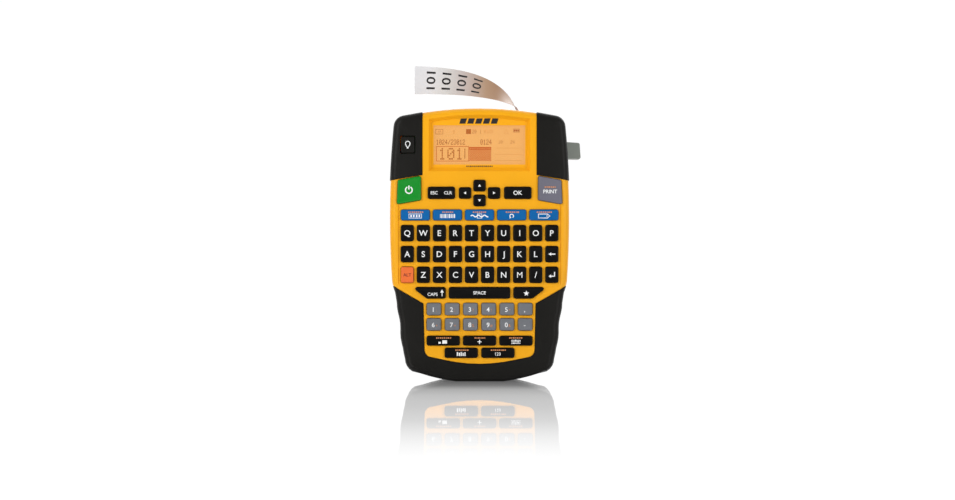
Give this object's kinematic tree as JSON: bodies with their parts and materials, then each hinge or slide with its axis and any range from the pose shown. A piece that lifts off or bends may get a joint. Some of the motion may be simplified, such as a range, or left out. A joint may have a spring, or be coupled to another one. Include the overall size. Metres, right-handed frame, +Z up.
{
  "type": "label maker",
  "caption": "Handheld label maker with letter and number keys, amber display, side cutter lever, rubber corners and grip, and a printed label leaving the top",
  "frame": {"origin": "centre of the flat foot on the lower end, which the label maker stands on", "axes": "+X to the user's right seen from the keys, +Y from the keys to the battery side, +Z up along the body"},
  "size_m": [0.1222, 0.0603, 0.2042],
  "materials": {
    "casing": "fine-textured yellow moulded plastic",
    "rubber_skin": "soft matt black overmoulded rubber",
    "cover": "textured black plastic",
    "lens": "clear window",
    "lcd": "amber backlit display",
    "board": "green solder mask",
    "silicone": "grey silicone",
    "steel": "plain steel",
    "gear_plastic": "natural acetal",
    "brass": "turned brass",
    "roller_rubber": "ground platen rubber",
    "lever": "grey-green satin plastic",
    "cassette": "light grey plastic",
    "tape": "laminated label tape",
    "cell": "printed cell sleeve",
    "black_key": "satin black key",
    "green_key": "satin green key",
    "blue_key": "satin blue key",
    "grey_key": "satin grey key",
    "orange_key": "satin orange key"
  },
  "bodies": {
    "root": {"front_shell": "casing", "rear_shell": "casing", "corner_bumper_left": "rubber_skin", "corner_bumper_right": "rubber_skin", "lower_grip": "rubber_skin", "display_lens": "lens", "lcd_panel": "lcd", "main_board": "board", "keypad_mat": "silicone", "mechanism_frame": "steel", "drive_motor": "steel", "print_head": "steel", "lever_pivot_pin": "steel", "lever_spring": "steel", "cassette_case": "cassette", "label_strip": "tape", "battery_cells": "cell", "battery_contacts": "steel", "dc_jack": "cover", "case_screws": "steel"},
    "cassette_lid": {"cassette_lid": "cover"},
    "lid_latch": {"lid_latch": "cover"},
    "battery_door": {"battery_door": "cover"},
    "cutter_lever": {"cutter_lever": "lever"},
    "cutter_blade": {"cutter_blade": "steel"},
    "motor_pinion": {"motor_pinion": "brass"},
    "idler_gear": {"idler_gear": "gear_plastic"},
    "platen": {"platen_roller": "roller_rubber", "platen_gear": "gear_plastic"},
    "ribbon_spindle": {"ribbon_spindle": "gear_plastic"},
    "tape_spool": {"tape_spool": "tape"},
    "key_power": {"key_power": "green_key"},
    "key_print": {"key_print": "grey_key"},
    "key_backlight": {"key_backlight": "rubber_skin"},
    "key_escape": {"key_escape": "black_key"},
    "key_ok": {"key_ok": "black_key"},
    "key_up": {"key_up": "black_key"},
    "key_down": {"key_down": "black_key"},
    "key_left": {"key_left": "black_key"},
    "key_right": {"key_right": "black_key"},
    "key_row_top": {"key_row_top": "black_key"},
    "key_row_middle": {"key_row_middle": "black_key"},
    "key_row_bottom": {"key_row_bottom": "black_key"},
    "key_alt": {"key_alt": "orange_key"},
    "key_caps": {"key_caps": "black_key"},
    "key_space": {"key_space": "black_key"},
    "key_favourites": {"key_favourites": "black_key"},
    "key_row_numbers_high": {"key_row_numbers_high": "grey_key"},
    "key_row_numbers_low": {"key_row_numbers_low": "grey_key"},
    "key_function_1": {"key_function_1": "blue_key"},
    "key_menu_1": {"key_menu_1": "black_key"},
    "key_function_2": {"key_function_2": "blue_key"},
    "key_menu_2": {"key_menu_2": "black_key"},
    "key_function_3": {"key_function_3": "blue_key"},
    "key_menu_3": {"key_menu_3": "black_key"},
    "key_function_4": {"key_function_4": "blue_key"},
    "key_menu_4": {"key_menu_4": "black_key"},
    "key_function_5": {"key_function_5": "blue_key"},
    "key_menu_5": {"key_menu_5": "black_key"}
  },
  "joints": [
    {"name": "cassette_lid_hinge", "type": "hinge", "parent": "root", "child": "cassette_lid", "pos_m": [0, 0.02795, 0.0912], "axis": [-1, 0, 0], "range_deg": [0, 92]},
    {"name": "lid_latch_slide", "type": "slide", "parent": "cassette_lid", "child": "lid_latch", "axis": [0, 0, -1], "range_m": [0, 0.0016], "stiffness_N_per_m": 300, "springref_m": -0.001},
    {"name": "battery_door_hinge", "type": "hinge", "parent": "root", "child": "battery_door", "pos_m": [0, 0.02795, 0.0154], "axis": [-1, 0, 0], "range_deg": [0, 80]},
    {"name": "cutter_lever_hinge", "type": "hinge", "parent": "root", "child": "cutter_lever", "pos_m": [0.046, 0, 0.13], "axis": [0, -1, 0], "range_deg": [0, 12], "stiffness_Nm_per_rad": 0.3, "springref_deg": -11.46},
    {"name": "cutter_blade_slide", "type": "slide", "parent": "root", "child": "cutter_blade", "axis": [-1, 0, 0], "range_m": [0, 0.0038]},
    {"name": "idler_gear_spin", "type": "hinge", "parent": "root", "child": "idler_gear", "pos_m": [0.033, 0, 0.1227], "axis": [0, 1, 0], "continuous": true},
    {"name": "motor_pinion_spin", "type": "hinge", "parent": "root", "child": "motor_pinion", "pos_m": [0.0385, 0, 0.11092], "axis": [0, 1, 0], "continuous": true},
    {"name": "platen_spin", "type": "hinge", "parent": "root", "child": "platen", "pos_m": [0.0305, 0, 0.138], "axis": [0, 1, 0], "continuous": true},
    {"name": "ribbon_spindle_spin", "type": "hinge", "parent": "root", "child": "ribbon_spindle", "pos_m": [0.0185, 0, 0.11886], "axis": [0, 1, 0], "continuous": true},
    {"name": "tape_spool_spin", "type": "hinge", "parent": "root", "child": "tape_spool", "pos_m": [-0.012, 0, 0.127], "axis": [0, 1, 0], "continuous": true},
    {"name": "key_power_press", "type": "slide", "parent": "root", "child": "key_power", "axis": [0, 1, 0], "range_m": [0, 0.0008], "stiffness_N_per_m": 350, "springref_m": -0.0008},
    {"name": "key_print_press", "type": "slide", "parent": "root", "child": "key_print", "axis": [0, 1, 0], "range_m": [0, 0.0008], "stiffness_N_per_m": 350, "springref_m": -0.0008},
    {"name": "key_backlight_press", "type": "slide", "parent": "root", "child": "key_backlight", "axis": [0, 1, 0], "range_m": [0, 0.0008], "stiffness_N_per_m": 350, "springref_m": -0.0008},
    {"name": "key_escape_press", "type": "slide", "parent": "root", "child": "key_escape", "axis": [0, 1, 0], "range_m": [0, 0.0008], "stiffness_N_per_m": 350, "springref_m": -0.0008},
    {"name": "key_ok_press", "type": "slide", "parent": "root", "child": "key_ok", "axis": [0, 1, 0], "range_m": [0, 0.0008], "stiffness_N_per_m": 350, "springref_m": -0.0008},
    {"name": "key_up_press", "type": "slide", "parent": "root", "child": "key_up", "axis": [0, 1, 0], "range_m": [0, 0.0008], "stiffness_N_per_m": 350, "springref_m": -0.0008},
    {"name": "key_down_press", "type": "slide", "parent": "root", "child": "key_down", "axis": [0, 1, 0], "range_m": [0, 0.0008], "stiffness_N_per_m": 350, "springref_m": -0.0008},
    {"name": "key_left_press", "type": "slide", "parent": "root", "child": "key_left", "axis": [0, 1, 0], "range_m": [0, 0.0008], "stiffness_N_per_m": 350, "springref_m": -0.0008},
    {"name": "key_right_press", "type": "slide", "parent": "root", "child": "key_right", "axis": [0, 1, 0], "range_m": [0, 0.0008], "stiffness_N_per_m": 350, "springref_m": -0.0008},
    {"name": "key_row_top_press", "type": "slide", "parent": "root", "child": "key_row_top", "axis": [0, 1, 0], "range_m": [0, 0.0008], "stiffness_N_per_m": 3500, "springref_m": -0.0008},
    {"name": "key_row_middle_press", "type": "slide", "parent": "root", "child": "key_row_middle", "axis": [0, 1, 0], "range_m": [0, 0.0008], "stiffness_N_per_m": 3500, "springref_m": -0.0008},
    {"name": "key_row_bottom_press", "type": "slide", "parent": "root", "child": "key_row_bottom", "axis": [0, 1, 0], "range_m": [0, 0.0008], "stiffness_N_per_m": 3150, "springref_m": -0.0008},
    {"name": "key_alt_press", "type": "slide", "parent": "root", "child": "key_alt", "axis": [0, 1, 0], "range_m": [0, 0.0008], "stiffness_N_per_m": 350, "springref_m": -0.0008},
    {"name": "key_caps_press", "type": "slide", "parent": "root", "child": "key_caps", "axis": [0, 1, 0], "range_m": [0, 0.0008], "stiffness_N_per_m": 350, "springref_m": -0.0008},
    {"name": "key_space_press", "type": "slide", "parent": "root", "child": "key_space", "axis": [0, 1, 0], "range_m": [0, 0.0008], "stiffness_N_per_m": 350, "springref_m": -0.0008},
    {"name": "key_favourites_press", "type": "slide", "parent": "root", "child": "key_favourites", "axis": [0, 1, 0], "range_m": [0, 0.0008], "stiffness_N_per_m": 350, "springref_m": -0.0008},
    {"name": "key_row_numbers_high_press", "type": "slide", "parent": "root", "child": "key_row_numbers_high", "axis": [0, 1, 0], "range_m": [0, 0.0008], "stiffness_N_per_m": 2100, "springref_m": -0.0008},
    {"name": "key_row_numbers_low_press", "type": "slide", "parent": "root", "child": "key_row_numbers_low", "axis": [0, 1, 0], "range_m": [0, 0.0008], "stiffness_N_per_m": 2100, "springref_m": -0.0008},
    {"name": "key_function_1_press", "type": "slide", "parent": "root", "child": "key_function_1", "axis": [0, 1, 0], "range_m": [0, 0.0008], "stiffness_N_per_m": 350, "springref_m": -0.0008},
    {"name": "key_menu_1_press", "type": "slide", "parent": "root", "child": "key_menu_1", "axis": [0, 1, 0], "range_m": [0, 0.0008], "stiffness_N_per_m": 350, "springref_m": -0.0008},
    {"name": "key_function_2_press", "type": "slide", "parent": "root", "child": "key_function_2", "axis": [0, 1, 0], "range_m": [0, 0.0008], "stiffness_N_per_m": 350, "springref_m": -0.0008},
    {"name": "key_menu_2_press", "type": "slide", "parent": "root", "child": "key_menu_2", "axis": [0, 1, 0], "range_m": [0, 0.0008], "stiffness_N_per_m": 350, "springref_m": -0.0008},
    {"name": "key_function_3_press", "type": "slide", "parent": "root", "child": "key_function_3", "axis": [0, 1, 0], "range_m": [0, 0.0008], "stiffness_N_per_m": 350, "springref_m": -0.0008},
    {"name": "key_menu_3_press", "type": "slide", "parent": "root", "child": "key_menu_3", "axis": [0, 1, 0], "range_m": [0, 0.0008], "stiffness_N_per_m": 350, "springref_m": -0.0008},
    {"name": "key_function_4_press", "type": "slide", "parent": "root", "child": "key_function_4", "axis": [0, 1, 0], "range_m": [0, 0.0008], "stiffness_N_per_m": 350, "springref_m": -0.0008},
    {"name": "key_menu_4_press", "type": "slide", "parent": "root", "child": "key_menu_4", "axis": [0, 1, 0], "range_m": [0, 0.0008], "stiffness_N_per_m": 350, "springref_m": -0.0008},
    {"name": "key_function_5_press", "type": "slide", "parent": "root", "child": "key_function_5", "axis": [0, 1, 0], "range_m": [0, 0.0008], "stiffness_N_per_m": 350, "springref_m": -0.0008},
    {"name": "key_menu_5_press", "type": "slide", "parent": "root", "child": "key_menu_5", "axis": [0, 1, 0], "range_m": [0, 0.0008], "stiffness_N_per_m": 350, "springref_m": -0.0008}
  ],
  "couplings": [
    {"joint": "cutter_blade_slide", "follows": "cutter_lever_hinge", "m_per_rad": 0.0175},
    {"joint": "motor_pinion_spin", "follows": "idler_gear_spin", "ratio": -3.3333},
    {"joint": "platen_spin", "follows": "idler_gear_spin", "ratio": -1.8182},
    {"joint": "ribbon_spindle_spin", "follows": "idler_gear_spin", "ratio": -2},
    {"joint": "tape_spool_spin", "follows": "idler_gear_spin", "ratio": 0.30303}
  ]
}
